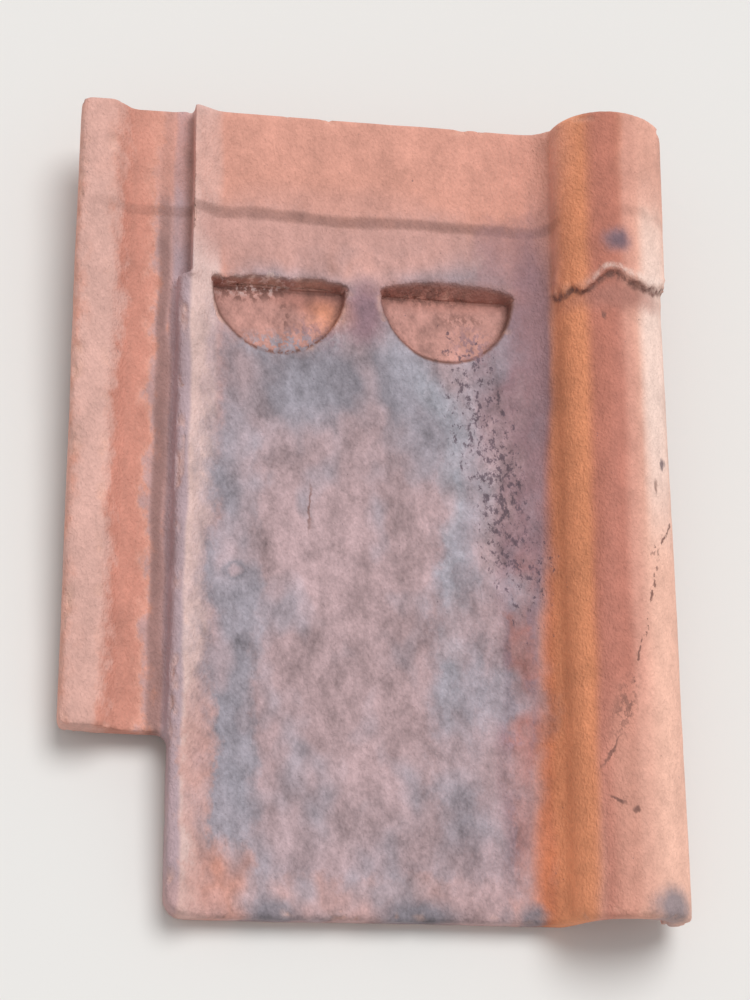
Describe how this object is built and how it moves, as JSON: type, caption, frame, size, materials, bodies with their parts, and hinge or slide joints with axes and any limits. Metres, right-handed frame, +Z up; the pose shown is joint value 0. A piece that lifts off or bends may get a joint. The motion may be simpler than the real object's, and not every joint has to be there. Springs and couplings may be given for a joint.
{
  "type": "clay roof tile",
  "caption": "Clay pantile with a flat pan, a half-round roll, a side lock, two half-moon recesses and two batten nibs.",
  "frame": {"origin": "on the floor, at the centre of the tile's footprint", "axes": "+Y towards the tile's head, +X towards its roll, +Z up; the tile lies on its two nibs and its tail"},
  "size_m": [0.242, 0.3318, 0.0667],
  "materials": {
    "fired_clay": "unglazed, weathered"
  },
  "bodies": {
    "root": {"roof_tile": "fired_clay"}
  },
  "joints": []
}
